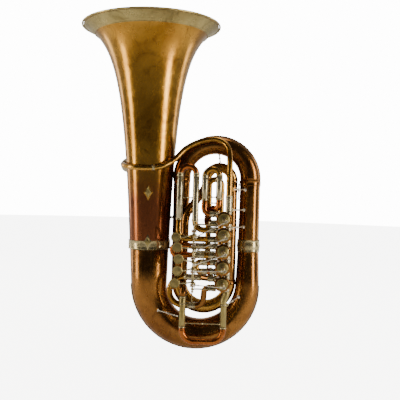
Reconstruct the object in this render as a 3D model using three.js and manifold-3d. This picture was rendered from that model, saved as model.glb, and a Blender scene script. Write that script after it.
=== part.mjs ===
// A five-valve rotary tuba in raw brass with nickel-silver trim, modelled piece by piece.
// Millimetres. +X points to the right limb, +Y to the player, +Z up along the bell.
// The origin is the lowest point of the bottom bow, where a stand carries the instrument.

import * as THREE from 'three';
import { mergeVertices } from 'three/addons/utils/BufferGeometryUtils.js';
import Module from 'manifold-3d';

const wasm = await Module();
wasm.setup();

// ---------------------------------------------------------------- driving dimensions

const GAP = 0.3;                    // clearance between pieces that touch
const WALL = 0.9;                   // sheet thickness of the large branches
const ARC_STEP = 36;                // degrees between rings round a bend

const RIM_RADIUS = 216;
const BELL_LENGTH = 700;
const FLARE_OFFSET = 55;            // shape of the flare: radius falls as (t + offset) ^ -power
const FLARE_POWER = 0.467;
const BELL_LEAN = 1.1;              // degrees the bell leans away from the right limb
const BELL_SIDES = 20;

const BOW_REACH = 157.8;            // half the distance between the two outer limbs
const BOW_RADII = [62.5, 33.5];     // tube radius at the bell end and at the limb end
const GUARD_PROUD = 1.5;
const BOW_BOTTOM_RADIUS = 48.1;
const BOW_Z = BOW_REACH + BOW_BOTTOM_RADIUS + GUARD_PROUD;
const BELL_FOOT = 121;              // bell foot above the centre of the bottom bow
const LIMB_Z = 330;
const TOP_BOW_Z = 546;
const TOP_BOW_REACH = 109.7;
const TOP_RADII = [32.5, 27];
const INNER_X = BOW_REACH - 2 * TOP_BOW_REACH;
const INNER_BOW_Z = 217.7;
const INNER_BOW_REACH = 81.3;
const RISER_X = INNER_X + 2 * INNER_BOW_REACH;
const INNER_TOP_Z = 542.5;
const INNER_TOP_REACH = 41.5;
const RETURN_X = RISER_X - 2 * INNER_TOP_REACH;

const VALVES = 5;
const VALVE_X = 73;
const VALVE_Y = -94;                // plane that holds the valve tubing
const TOP_VALVE_Z = 423;
const VALVE_PITCH = 49.5;
const CASING_RADIUS = 23;
const CASING_HALF = 22;
const ROTOR_RADIUS = 20;
const CHAMBER_RADIUS = 21.1;         // its twelve flat faces stay clear of the turning rotor
const PORT = 14.1;                  // the four ports lie at 45 degrees round the rotor
const BORE = 9.1;                   // inside radius of the fixed valve tubes
const TUBE = 10;                    // outside radius of the fixed valve tubes
const SLIDE = 8.7;                  // outside radius of the sliding tubes
const SLIDE_WALL = 0.8;
const TUBE_SIDES = 8;
const STUB_SIDES = 6;
const STUB_X = VALVE_X - 26;        // where the valve tubes meet the casing stubs

const HINGE = [-17, -114];          // X and Y of the lever hinge rod
const CRANK = 28.3;                 // hinge rod to link pin
const CRANK_ANGLE = 13;             // half the lever throw, degrees
const STOP_RADIUS = 9;              // rotor axis to link pin
const DRUM_TOP_Z = 384.5;
const DRUM_PITCH = 41.2;
const HUB_OFFSET = 10.5;
const PADDLE_X = [-71, -66, -61, -63, -71];
const PADDLE_Z = [366, 336, 301, 265, 228];
const PADDLE_Y = -137;
const PADDLE_RADIUS = 15;
const LINK_Y = HINGE[1] - CRANK * Math.cos(THREE.MathUtils.degToRad(CRANK_ANGLE));

const MAIN_LEFT_X = -46;
const MAIN_RIGHT_X = 80;
const MOUTH = [-253, 588];          // X and Z of the mouthpiece axis

// ---------------------------------------------------------------- finishes

const BRASS = { color: 0xa9762b, roughness: 0.32, metalness: 1 };
const RED_BRASS = { color: 0x7d4621, roughness: 0.34, metalness: 1 };
const COPPER = { color: 0x9a4f28, roughness: 0.36, metalness: 1 };
const NICKEL = { color: 0xb5ae94, roughness: 0.28, metalness: 1 };
const STEEL = { color: 0xa9a9a4, roughness: 0.3, metalness: 1 };

// ---------------------------------------------------------------- small helpers

const tuba = new THREE.Group();
const vec = (x, y, z) => new THREE.Vector3(x, y, z);
const radians = THREE.MathUtils.degToRad;
const lerp = THREE.MathUtils.lerp;
const valveZ = (k) => TOP_VALVE_Z - k * VALVE_PITCH;
const straightTaper = (first, last) => (share) => lerp(first, last, share);

function addPiece(name, geometry, finish, parent = tuba) {
  const mesh = new THREE.Mesh(geometry, new THREE.MeshStandardMaterial(finish));
  mesh.name = name;
  parent.add(mesh);
  return mesh;
}

// A closed mesh as a manifold solid, and back again.
function solid(geometry) {
  const bare = geometry.clone();
  bare.deleteAttribute('normal');
  bare.deleteAttribute('uv');
  const merged = mergeVertices(bare, 1e-4);
  const mesh = new wasm.Mesh({
    numProp: 3,
    vertProperties: new Float32Array(merged.attributes.position.array),
    triVerts: new Uint32Array(merged.index.array),
  });
  return new wasm.Manifold(mesh);
}

function geometryOf(body) {
  const mesh = body.getMesh();
  const geometry = new THREE.BufferGeometry();
  geometry.setAttribute('position', new THREE.BufferAttribute(mesh.vertProperties, 3));
  geometry.setIndex(new THREE.BufferAttribute(mesh.triVerts, 1));
  return geometry;
}

function joined(...geometries) {
  return geometries.map(solid).reduce((whole, next) => whole.add(next));
}

// A round bar between two points.
function rod(from, to, radius, sides = 8) {
  const axis = to.clone().sub(from);
  const bar = new THREE.CylinderGeometry(radius, radius, axis.length(), sides);
  const turn = new THREE.Quaternion().setFromUnitVectors(vec(0, 1, 0), axis.clone().normalize());
  bar.applyQuaternion(turn);
  const middle = from.clone().add(to).multiplyScalar(0.5);
  return bar.translate(middle.x, middle.y, middle.z);
}

function block(from, to) {
  const size = to.clone().sub(from);
  const box = new THREE.BoxGeometry(Math.abs(size.x), Math.abs(size.y), Math.abs(size.z));
  return box.translate((from.x + to.x) / 2, (from.y + to.y) / 2, (from.z + to.z) / 2);
}

// A turned piece: pairs of radius and height, closed on itself, round the Y axis.
function turned(outline, sides) {
  const points = outline.map(([radius, height]) => new THREE.Vector2(radius, height));
  points.push(points[0].clone());
  return new THREE.LatheGeometry(points, sides);
}

// ---------------------------------------------------------------- tube routes

// A path of straight runs whose corners are rounded, kept as a row of stops with headings.
class Route extends THREE.Curve {
  constructor(corners, radius) {
    super();
    this.stops = [];
    this.headings = [];
    const points = corners.map((corner) => vec(...corner));
    this.mark(points[0], points[1].clone().sub(points[0]).normalize());
    for (let i = 1; i < points.length - 1; i += 1) {
      const bend = Array.isArray(radius) ? radius[i - 1] : radius;
      this.round(points[i - 1], points[i], points[i + 1], bend);
    }
    const last = points[points.length - 1];
    this.mark(last, last.clone().sub(points[points.length - 2]).normalize());
    this.measure();
  }

  mark(point, heading) {
    const previous = this.stops[this.stops.length - 1];
    if (previous && previous.distanceTo(point) < 0.05) return;
    this.stops.push(point.clone());
    this.headings.push(heading.clone());
  }

  round(before, corner, after, radius) {
    const arriving = corner.clone().sub(before).normalize();
    const leaving = after.clone().sub(corner).normalize();
    const angle = arriving.angleTo(leaving);
    const setback = radius * Math.tan(angle / 2);
    const start = corner.clone().addScaledVector(arriving, -setback);
    const axis = arriving.clone().cross(leaving).normalize();
    const spoke = arriving.clone().cross(axis).multiplyScalar(radius);
    const centre = start.clone().sub(spoke);
    const steps = Math.max(1, Math.round(THREE.MathUtils.radToDeg(angle) / ARC_STEP));
    for (let i = 0; i <= steps; i += 1) {
      const turn = (angle * i) / steps;
      const point = spoke.clone().applyAxisAngle(axis, turn).add(centre);
      this.mark(point, arriving.clone().applyAxisAngle(axis, turn));
    }
  }

  measure() {
    this.along = [0];
    for (let i = 1; i < this.stops.length; i += 1) {
      this.along.push(this.along[i - 1] + this.stops[i].distanceTo(this.stops[i - 1]));
    }
    this.total = this.along[this.along.length - 1];
  }

  index(share) {
    return Math.round(share * (this.stops.length - 1));
  }

  getPointAt(share) {
    return this.stops[this.index(share)].clone();
  }

  getTangentAt(share) {
    return this.headings[this.index(share)].clone();
  }
}

// A free curve through its points, as the same kind of row of stops.
function curvedRoute(points, steps) {
  const curve = new THREE.CatmullRomCurve3(points.map((point) => vec(...point)), false, 'centripetal');
  const route = new Route([points[0], points[points.length - 1]], 1);
  route.stops = curve.getSpacedPoints(steps);
  route.headings = route.stops.map((stop, i) => curve.getTangentAt(i / steps));
  route.measure();
  return route;
}

// Sheet metal bent round a route. A whole turn gives a hollow tube; less gives an open strip.
function sheet(route, radiusAt, wall, sides, from = 0, sweep = 360) {
  const rings = route.stops.length;
  const frames = route.computeFrenetFrames(rings - 1, false);
  const whole = sweep === 360;
  const columns = whole ? sides : sides + 1;
  const positions = [];
  const faces = [];
  for (const inset of [0, wall]) {
    for (let i = 0; i < rings; i += 1) {
      const radius = radiusAt(route.along[i] / route.total) - inset;
      for (let j = 0; j < columns; j += 1) {
        const angle = radians(from + (sweep * j) / sides);
        const point = route.stops[i].clone();
        point.addScaledVector(frames.normals[i], radius * Math.cos(angle));
        point.addScaledVector(frames.binormals[i], radius * Math.sin(angle));
        positions.push(point.x, point.y, point.z);
      }
    }
  }
  const at = (layer, i, j) => layer * rings * columns + i * columns + (j % columns);
  const quad = (a, b, c, d) => faces.push(a, b, c, a, c, d);
  for (let j = 0; j < sides; j += 1) {
    for (let i = 0; i < rings - 1; i += 1) {
      quad(at(0, i, j), at(0, i, j + 1), at(0, i + 1, j + 1), at(0, i + 1, j));
      quad(at(1, i, j), at(1, i + 1, j), at(1, i + 1, j + 1), at(1, i, j + 1));
    }
    quad(at(0, 0, j), at(1, 0, j), at(1, 0, j + 1), at(0, 0, j + 1));
    quad(at(0, rings - 1, j), at(0, rings - 1, j + 1), at(1, rings - 1, j + 1), at(1, rings - 1, j));
  }
  if (!whole) {
    for (let i = 0; i < rings - 1; i += 1) {
      quad(at(0, i, 0), at(0, i + 1, 0), at(1, i + 1, 0), at(1, i, 0));
      quad(at(0, i, sides), at(1, i, sides), at(1, i + 1, sides), at(0, i + 1, sides));
    }
  }
  const geometry = new THREE.BufferGeometry();
  geometry.setAttribute('position', new THREE.Float32BufferAttribute(positions, 3));
  geometry.setIndex(faces);
  return geometry;
}

const evenTube = (corners, bend, radius, wall) =>
  sheet(new Route(corners, bend), () => radius, wall, TUBE_SIDES);

// ---------------------------------------------------------------- bell and its trim

// Points on the bell's own axis, measured up from the centre of the bottom bow.
const bellUp = vec(-Math.sin(radians(BELL_LEAN)), 0, Math.cos(radians(BELL_LEAN)));
const onBellAxis = (height) => vec(-BOW_REACH, 0, BOW_Z).addScaledVector(bellUp, height);
const flare = (t) => RIM_RADIUS * (FLARE_OFFSET / (t + FLARE_OFFSET)) ** FLARE_POWER;
const RIM_HEIGHT = BELL_FOOT + BELL_LENGTH;

// A frame whose Y axis runs up the bell, with its origin at the rim.
const bellFrame = new THREE.Group();
bellFrame.position.copy(onBellAxis(RIM_HEIGHT));
bellFrame.quaternion.setFromUnitVectors(vec(0, 1, 0), bellUp);
tuba.add(bellFrame);

const garlandStations = [6, 14, 24];

function buildBell() {
  const stations = [0, ...garlandStations, 48, 85, 150, 250, 390, 540, BELL_LENGTH];
  const outside = stations.map((t) => [flare(t), -t]);
  const inside = stations.map((t) => [flare(t) - (t < 20 ? 2 : 1.15) * WALL, -t]);
  return turned([...outside.reverse(), ...inside], BELL_SIDES);
}

// The garland is a band under the rim that ends in a rolled bead just outside the bell's edge.
function buildGarland() {
  const outer = garlandStations.map((t) => [flare(t) + 3, -t]);
  const inner = garlandStations.map((t) => [flare(t) + 1, -t]);
  const bead = [[RIM_RADIUS + 1, -0.3], [RIM_RADIUS + 1, 2.6], [RIM_RADIUS + 5, 2.6],
    [RIM_RADIUS + 6.5, 0.8], [RIM_RADIUS + 5, -1.6]];
  return turned([...outer.reverse(), ...bead.reverse(), ...inner], BELL_SIDES);
}

function buildBellFerrule() {
  const low = -BELL_LENGTH - 10;
  const high = -BELL_LENGTH + 18;
  return turned([[65.6, low], [66.6, low], [67.4, low + 3], [67.2, high - 3], [66.6, high], [65.4, high]],
    BELL_SIDES);
}

// A blank lozenge plate, bent to the front of the bell.
function buildBadge() {
  const drop = 531;
  const half = 19;
  const shape = new THREE.Shape();
  shape.moveTo(0, -half);
  shape.quadraticCurveTo(4, -4, half * 0.75, 0);
  shape.quadraticCurveTo(4, 4, 0, half);
  shape.quadraticCurveTo(-4, 4, -half * 0.75, 0);
  shape.quadraticCurveTo(-4, -4, 0, -half);
  const plate = new THREE.ExtrudeGeometry(shape, { depth: 1.2, bevelEnabled: false, curveSegments: 4 });
  const position = plate.attributes.position;
  const surface = flare(drop) + 1.6;
  for (let i = 0; i < position.count; i += 1) {
    const x = position.getX(i);
    const out = position.getZ(i);
    const wrap = Math.sqrt(surface ** 2 - x ** 2);
    position.setXYZ(i, x, position.getY(i) - drop, wrap + out);
  }
  return plate;
}

// A pointed plate that rises from the front of the bell ferrule.
function buildFerrulePlate() {
  const shape = new THREE.Shape();
  shape.moveTo(-15, 0);
  shape.lineTo(15, 0);
  shape.lineTo(11, 6);
  shape.quadraticCurveTo(3, 9, 0, 24);
  shape.quadraticCurveTo(-3, 9, -11, 6);
  shape.closePath();
  const plate = new THREE.ExtrudeGeometry(shape, { depth: 1.2, bevelEnabled: false, curveSegments: 4 });
  const position = plate.attributes.position;
  const surface = flare(BELL_LENGTH - 45) + 1.6;
  for (let i = 0; i < position.count; i += 1) {
    const x = position.getX(i);
    const wrap = Math.sqrt(surface ** 2 - x ** 2);
    position.setXYZ(i, x, position.getY(i) - BELL_LENGTH + 16, wrap + position.getZ(i));
  }
  return plate.rotateY(Math.PI);
}

addPiece('bell', buildBell(), BRASS, bellFrame);
addPiece('garland', buildGarland(), NICKEL, bellFrame);
addPiece('bell_ferrule', geometryOf(joined(buildBellFerrule(), buildFerrulePlate())), NICKEL, bellFrame);
addPiece('badge', buildBadge(), NICKEL, bellFrame).rotation.y = Math.PI;

// ---------------------------------------------------------------- bows and branches

const footOfBell = onBellAxis(BELL_FOOT - GAP);

// The bottom bow as a row of stops: down the left limb, round the bend and up to the limb ferrule.
function bottomRoute(endZ) {
  const route = new Route([[0, 0, 0], [1, 0, 0]], 1);
  route.stops = [footOfBell.clone()];
  route.headings = [bellUp.clone().negate()];
  const steps = 10;
  for (let i = 0; i <= steps; i += 1) {
    const turn = radians(lerp(BELL_LEAN - 180, 0, i / steps));
    route.stops.push(vec(BOW_REACH * Math.cos(turn), 0, BOW_Z + BOW_REACH * Math.sin(turn)));
    route.headings.push(vec(-Math.sin(turn), 0, Math.cos(turn)));
  }
  route.stops.push(vec(BOW_REACH, 0, endZ));
  route.headings.push(vec(0, 0, 1));
  route.measure();
  return route;
}

const halfTurn = (leftX, rightX, z, up) => {
  const reach = (rightX - leftX) / 2;
  const top = z + (up ? reach : -reach);
  return new Route([[rightX, 0, z], [rightX, 0, top], [leftX, 0, top], [leftX, 0, z]], reach);
};

const limbJoint = LIMB_Z;
const bottomStops = bottomRoute(limbJoint);
const limbRoute = new Route([[BOW_REACH, 0, limbJoint + GAP], [BOW_REACH, 0, TOP_BOW_Z]], 1);
const topRoute = halfTurn(INNER_X, BOW_REACH, TOP_BOW_Z + GAP, true);
const innerRoute = new Route([[INNER_X, 0, TOP_BOW_Z], [INNER_X, 0, INNER_BOW_Z + GAP]], 1);
const innerBowRoute = halfTurn(INNER_X, RISER_X, INNER_BOW_Z, false);
const riserRoute = new Route([[RISER_X, 0, INNER_BOW_Z + GAP], [RISER_X, 0, INNER_TOP_Z - GAP]], 1);
const innerTopRoute = halfTurn(RETURN_X, RISER_X, INNER_TOP_Z, true);
const returnRoute = new Route([
  [RETURN_X, 0, INNER_TOP_Z - GAP], [RETURN_X, 0, 522], [MAIN_LEFT_X, -50, 430],
  [MAIN_LEFT_X, -50, 230], [MAIN_LEFT_X, VALVE_Y, 202], [MAIN_LEFT_X, VALVE_Y, 184],
], [45, 60, 22, 16]);

addPiece('bottom_bow', sheet(bottomStops, straightTaper(...BOW_RADII), WALL, 16), RED_BRASS);
addPiece('outer_branch', sheet(limbRoute, straightTaper(33.5, 32.5), WALL, 12), RED_BRASS);
addPiece('top_bow', sheet(topRoute, straightTaper(...TOP_RADII), WALL, 12), RED_BRASS);
addPiece('inner_branch', sheet(innerRoute, straightTaper(27, 24.5), WALL, 12), RED_BRASS);
addPiece('inner_bottom_bow', sheet(innerBowRoute, straightTaper(18, 24.5), WALL, 12), BRASS);
addPiece('inner_riser', sheet(riserRoute, straightTaper(18, 16.5), WALL, 10), RED_BRASS);
addPiece('inner_top_bow', sheet(innerTopRoute, straightTaper(16.5, 14.5), WALL, 10), BRASS);
addPiece('tuning_return', sheet(returnRoute, straightTaper(14, TUBE), WALL, 8), RED_BRASS);

// Guard strips on the outermost line of the two outer bows.
function guardStrip(route, radii, first, last, from) {
  const part = new Route([[0, 0, 0], [1, 0, 0]], 1);
  part.stops = route.stops.slice(first, last);
  part.headings = route.headings.slice(first, last);
  part.measure();
  const lift = GUARD_PROUD;
  const low = lerp(...radii, route.along[first] / route.total);
  const high = lerp(...radii, route.along[last - 1] / route.total);
  return sheet(part, straightTaper(low + lift, high + lift), 1.1, 4, from, 44);
}

addPiece('bottom_guard', guardStrip(bottomStops, BOW_RADII, 1, bottomStops.stops.length - 1, 68), NICKEL);
addPiece('top_guard', guardStrip(topRoute, TOP_RADII, 0, topRoute.stops.length, -112), NICKEL);

// Plain ring ferrules over the joints of the branches.
function ringFerrule(x, z, radius, height, sides) {
  const inner = radius + 0.5;
  const ring = turned([[inner, -height], [inner + 1.2, -height], [inner + 1.9, 0], [inner + 1.2, height],
    [inner, height]], sides);
  return ring.rotateX(Math.PI / 2).translate(x, 0, z);
}

addPiece('limb_ferrule', ringFerrule(BOW_REACH, LIMB_Z + 6, 34.4, 19, 16), NICKEL);
addPiece('top_ferrule_right', ringFerrule(BOW_REACH, TOP_BOW_Z - 10, 34.4, 8, 12), NICKEL);

// ---------------------------------------------------------------- leadpipe and mouthpiece

const leadpipeRoute = curvedRoute([
  [MOUTH[0], 34, MOUTH[1]], [-253, 6, 586], [-244, -42, 580], [-214, -75, 575], [-165, -89, 573],
  [-121, -78, 580], [-88, -61, 600], [-50, -44, 640], [-3, -39, 664], [42, -40, 671], [68, -47, 662],
  [83, -61, 640], [87, -78, 605], [87.1, -91, 560], [87.1, VALVE_Y, 510],
  [87.1, VALVE_Y, TOP_VALVE_Z + VALVE_PITCH / 2 + GAP],
], 22);
addPiece('leadpipe', sheet(leadpipeRoute, straightTaper(7.6, 9.6), WALL, TUBE_SIDES), BRASS);

const mouthFrame = new THREE.Group();
mouthFrame.position.set(MOUTH[0], 0, MOUTH[1]);
tuba.add(mouthFrame);

addPiece('receiver', turned([[7.9, 34.3], [9.4, 34.3], [9.4, 78], [11, 79.5], [11, 83], [8.2, 83]], 12),
  NICKEL, mouthFrame);
addPiece('mouthpiece', turned([
  [5.8, 50], [7.3, 86], [7.0, 96], [9.5, 103], [14, 108], [20, 118], [23, 132], [24.5, 140], [23, 143.5],
  [18, 143.5], [16.5, 139], [15.5, 128], [11, 117], [4.4, 109], [4.2, 90], [4.6, 50],
], 10), NICKEL, mouthFrame);

// ---------------------------------------------------------------- valves

// A valve's own frame has its rotor axis on Y and its origin on the tubing plane.
function casingGeometry() {
  const outer = new THREE.CylinderGeometry(CASING_RADIUS, CASING_RADIUS, 2 * CASING_HALF, 12);
  const chamber = new THREE.CylinderGeometry(CHAMBER_RADIUS, CHAMBER_RADIUS, 38.4, 12);
  const shaftHole = new THREE.CylinderGeometry(4.8, 4.8, 10, 6).translate(0, -CASING_HALF, 0);
  let body = solid(outer);
  const ports = [];
  for (const side of [-1, 1]) {
    const left = [vec(-14, 0, side * PORT), vec(STUB_X - VALVE_X + GAP, 0, side * PORT)];
    const right = [vec(PORT, 0, side * 10), vec(PORT, 0, side * (VALVE_PITCH / 2 - GAP / 2))];
    ports.push(left, right);
  }
  for (const [from, to] of ports) body = body.add(solid(rod(from, to, TUBE, STUB_SIDES)));
  body = body.subtract(solid(chamber)).subtract(solid(shaftHole));
  for (const [from, to] of ports) {
    const reach = to.clone().sub(from).normalize();
    body = body.subtract(solid(rod(from, to.clone().addScaledVector(reach, 2), BORE, STUB_SIDES)));
  }
  return geometryOf(body);
}

// Link pin of the rotor at rest: below the axis, turned to the right.
const stopPin = [STOP_RADIUS * Math.SQRT1_2, -STOP_RADIUS * Math.SQRT1_2];

function rotorGeometry() {
  let body = solid(new THREE.CylinderGeometry(ROTOR_RADIUS, ROTOR_RADIUS, 37.6, 12));
  for (const side of [-1, 1]) {
    const way = rod(vec(side * PORT, 0, -30), vec(side * PORT, 0, 30), 9, 8);
    body = body.subtract(solid(way));
  }
  const pinFoot = vec(stopPin[0], -36, stopPin[1]);
  const pinEnd = vec(stopPin[0], LINK_Y - VALVE_Y - 3.4, stopPin[1]);
  const shaft = rod(vec(0, -15, 0), vec(0, -39, 0), 4, 6);
  const boss = rod(vec(0, -32, 0), vec(0, -37, 0), 6, 6);
  const arm = block(vec(-3.5, -36.6, -STOP_RADIUS - 3), vec(3.5, -32.4, 2));
  arm.rotateY(-Math.PI / 4);
  body = body.add(solid(shaft)).add(solid(boss)).add(solid(arm)).add(solid(rod(pinFoot, pinEnd, 1.4, 6)));
  return geometryOf(body);
}

function collar(from, to) {
  return rod(vec(...from), vec(...to), 2, 6);
}

// Each valve's fixed tubing, as two bent tubes joined by a brace bar.
const tubing = [
  {
    upper: [[STUB_X, VALVE_Y, 14.1], [12.5, VALVE_Y, 14.1], [12.5, VALVE_Y, 130]],
    lower: [[56.5, VALVE_Y, 130], [56.5, VALVE_Y, 31], [28, -72, 31], [20, -75, -14.1],
      [37, VALVE_Y, -14.1], [STUB_X, VALVE_Y, -14.1]],
    bends: [18, [13, 13, 10, 8]],
    brace: [[21.6, VALVE_Y, 66], [47.4, VALVE_Y, 66]],
  },
  {
    upper: [[STUB_X, VALVE_Y, 14.1], [-15, VALVE_Y, 14.1], [-15, VALVE_Y, 182.5]],
    lower: [[STUB_X, VALVE_Y, -14.1], [-64.5, VALVE_Y, -14.1], [-64.5, VALVE_Y, 182.5]],
    bends: [26, 26],
    brace: [[-55.4, VALVE_Y, 112], [-24.1, VALVE_Y, 112]],
  },
  {
    upper: [[STUB_X, VALVE_Y, 14.1], [-12, VALVE_Y, 14.1]],
    lower: [[STUB_X, VALVE_Y, -14.1], [-12, VALVE_Y, -14.1]],
    bends: [1, 1],
    brace: [[20, VALVE_Y, 4.9], [20, VALVE_Y, -4.9]],
  },
  {
    upper: [[STUB_X, VALVE_Y, 14.1], [12, VALVE_Y, 14.1]],
    lower: [[STUB_X, VALVE_Y, -14.1], [12, VALVE_Y, -14.1]],
    bends: [1, 1],
    brace: [[28, VALVE_Y, 4.9], [28, VALVE_Y, -4.9]],
  },
  {
    upper: [[STUB_X, VALVE_Y, 14.1], [36, VALVE_Y, 14.1], [12, -72, 14.1], [-38, -72, 14.1]],
    lower: [[-38, -72, -73.9], [16, -72, -73.9], [20, VALVE_Y, -14.1], [STUB_X, VALVE_Y, -14.1]],
    bends: [14, [24, 16]],
    brace: [[-18, -72, 5], [-18, -72, -64.8]],
  },
];

const raised = (points, z) => points.map(([x, y, dz]) => [x, y, z + dz]);

// The fourth valve's long loop stands behind the valves and joins its two fixed tubes from behind.
const BACK_Y = -42;
const BACK_X = [27, 66];
const BACK_TOP = 545;
const backLoop = (z) => [[30, VALVE_Y + 9.6, z + 14.1], [30, BACK_Y, z + 14.1], [BACK_X[0], BACK_Y, z + 40],
  [BACK_X[0], BACK_Y, BACK_TOP], [BACK_X[1], BACK_Y, BACK_TOP], [BACK_X[1], BACK_Y, z - 44],
  [38, BACK_Y, z - 44], [38, BACK_Y, z - 14.1], [38, VALVE_Y + 9.6, z - 14.1]];

function tubingGeometry(k) {
  const { upper, lower, bends, brace } = tubing[k];
  const z = valveZ(k);
  const first = evenTube(raised(upper, z), bends[0], TUBE, TUBE - BORE);
  const second = evenTube(raised(lower, z), bends[1], TUBE, TUBE - BORE);
  const [from, to] = raised(brace, z);
  if (k !== 3) return geometryOf(joined(first, second, collar(from, to)));
  const loop = evenTube(backLoop(z), [11, 10, 19.5, 19.5, 15, 12, 11], 8.8, 0.9);
  return geometryOf(joined(first, second, collar(from, to), loop));
}

// The sliding crooks: legs inside the fixed tubes and a bow past their ends.
const slideRoutes = [
  { corners: [[12.5, VALVE_Y, 80], [12.5, VALVE_Y, 152], [56.5, VALVE_Y, 152], [56.5, VALVE_Y, 80]],
    bend: 22 },
  { corners: [[-15, VALVE_Y, 60], [-15, VALVE_Y, 208.5], [-64.5, VALVE_Y, 208.5], [-64.5, VALVE_Y, 60]],
    bend: 24.75 },
  { corners: [[30, VALVE_Y, 14.1], [-81.5, VALVE_Y, 14.1], [-81.5, VALVE_Y, -14.1],
    [30, VALVE_Y, -14.1]], bend: 14.1 },
  { corners: [[38, VALVE_Y, 14.1], [-8, VALVE_Y, 14.1], [-8, VALVE_Y, -14.1], [38, VALVE_Y, -14.1]],
    bend: 14.1 },
  { corners: [[0, -72, 14.1], [-88, -72, 14.1], [-88, -72, -73.9], [-16, -72, -73.9]], bend: 44 },
];

for (let k = 0; k < VALVES; k += 1) {
  const label = `valve_${k + 1}`;
  const seat = new THREE.Group();
  seat.position.set(VALVE_X, VALVE_Y, valveZ(k));
  tuba.add(seat);
  addPiece(`${label}_casing`, casingGeometry(), NICKEL, seat);
  addPiece(`${label}_rotor`, rotorGeometry(), BRASS, seat);
  addPiece(`${label}_tubing`, tubingGeometry(k), NICKEL);
  const { corners, bend } = slideRoutes[k];
  const slide = evenTube(raised(corners, valveZ(k)), bend, SLIDE, SLIDE_WALL);
  addPiece(`${label}_slide`, slide, k % 2 ? COPPER : BRASS);
}

// ---------------------------------------------------------------- main tuning slide

const mainBottom = 45;
const sleeveEnd = 86;
const rightSleeve = evenTube([
  [VALVE_X + PORT, VALVE_Y, valveZ(4) - VALVE_PITCH / 2 - GAP], [VALVE_X + PORT, VALVE_Y, 190],
  [MAIN_RIGHT_X, VALVE_Y, 172], [MAIN_RIGHT_X, VALVE_Y, sleeveEnd],
], 20, TUBE, TUBE - BORE);
const leftSleeve = evenTube(
  [[MAIN_LEFT_X, VALVE_Y, 183.5], [MAIN_LEFT_X, VALVE_Y, sleeveEnd]], 1, TUBE, TUBE - BORE);
const mainBrace = collar([MAIN_LEFT_X + 9.2, VALVE_Y, 100], [MAIN_RIGHT_X - 9.2, VALVE_Y, 100]);
addPiece('main_slide_sleeves', geometryOf(joined(rightSleeve, leftSleeve, mainBrace)), NICKEL);
addPiece('main_slide', evenTube([
  [MAIN_LEFT_X, VALVE_Y, 160], [MAIN_LEFT_X, VALVE_Y, mainBottom],
  [MAIN_RIGHT_X, VALVE_Y, mainBottom], [MAIN_RIGHT_X, VALVE_Y, 160],
], 36, SLIDE, SLIDE_WALL), COPPER);

// ---------------------------------------------------------------- levers, springs and links

const drumZ = (k) => DRUM_TOP_Z - k * DRUM_PITCH;
const hubZ = (k) => drumZ(k) + (k < 3 ? -HUB_OFFSET : HUB_OFFSET);
const crankPin = vec(
  HINGE[0] + CRANK * Math.sin(radians(CRANK_ANGLE)), LINK_Y, 0);

function leverGeometry(k) {
  const z = hubZ(k);
  const hub = rod(vec(HINGE[0], HINGE[1], z - 5), vec(HINGE[0], HINGE[1], z + 5), 5.2, 8);
  const bore = rod(vec(HINGE[0], HINGE[1], z - 9), vec(HINGE[0], HINGE[1], z + 9), 3.7, 8);
  const crankEnd = vec(crankPin.x, crankPin.y, z);
  const crank = rod(vec(HINGE[0], HINGE[1] - 4, z), crankEnd, 2.2, 6);
  const eye = rod(crankEnd.clone().add(vec(0, 0, -2.5)), crankEnd.clone().add(vec(0, 0, 2.5)), 3.4, 6);
  const pin = rod(crankEnd, crankEnd.clone().add(vec(0, 0, -13)), 1.4, 6);
  const palm = vec(PADDLE_X[k], PADDLE_Y, PADDLE_Z[k]);
  const elbow = vec(-34, -133, (z + PADDLE_Z[k]) / 2);
  const armRoot = rod(vec(HINGE[0], HINGE[1] - 3, z), elbow, 2.3, 6);
  const armEnd = rod(elbow, palm, 2.3, 6);
  const knuckle = new THREE.SphereGeometry(2.6, 6, 4).translate(elbow.x, elbow.y, elbow.z);
  const touch = new THREE.CylinderGeometry(PADDLE_RADIUS, PADDLE_RADIUS, 2.4, 12)
    .translate(palm.x, palm.y, palm.z);
  const whole = joined(hub, crank, eye, pin, touch, armRoot, knuckle, armEnd);
  return geometryOf(whole.subtract(solid(bore)));
}

function linkGeometry(k) {
  const near = vec(VALVE_X + stopPin[0], LINK_Y, valveZ(k) + stopPin[1]);
  const far = vec(crankPin.x, LINK_Y, hubZ(k) - 5.2);
  const run = far.clone().sub(near).normalize();
  const bar = rod(near.clone().addScaledVector(run, 3.6), far.clone().addScaledVector(run, -4.4), 1.6, 6);
  const nearEye = rod(near.clone().add(vec(0, -2, 0)), near.clone().add(vec(0, 2, 0)), 4.4, 8);
  const farEye = rod(far.clone().add(vec(0, 0, -2.2)), far.clone().add(vec(0, 0, 2.2)), 5.2, 8);
  const nearHole = rod(near.clone().add(vec(0, -6, 0)), near.clone().add(vec(0, 6, 0)), 2.1, 6);
  const farHole = rod(far.clone().add(vec(0, 0, -6)), far.clone().add(vec(0, 0, 6)), 3.4, 6);
  const whole = joined(bar, nearEye, farEye);
  return geometryOf(whole.subtract(solid(nearHole)).subtract(solid(farHole)));
}

// A flat drum with the return spring coiled inside it, round the hinge rod.
function drumGeometry(k) {
  const z = drumZ(k);
  return turned([[3.5, -4.4], [8.2, -4.4], [8.8, -3.4], [8.8, 3.4], [8.2, 4.4], [3.5, 4.4]], 10)
    .rotateX(Math.PI / 2).translate(HINGE[0], HINGE[1], z);
}

for (let k = 0; k < VALVES; k += 1) {
  addPiece(`lever_${k + 1}`, leverGeometry(k), NICKEL);
  addPiece(`link_${k + 1}`, linkGeometry(k), STEEL);
  addPiece(`spring_drum_${k + 1}`, drumGeometry(k), NICKEL);
}

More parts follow.
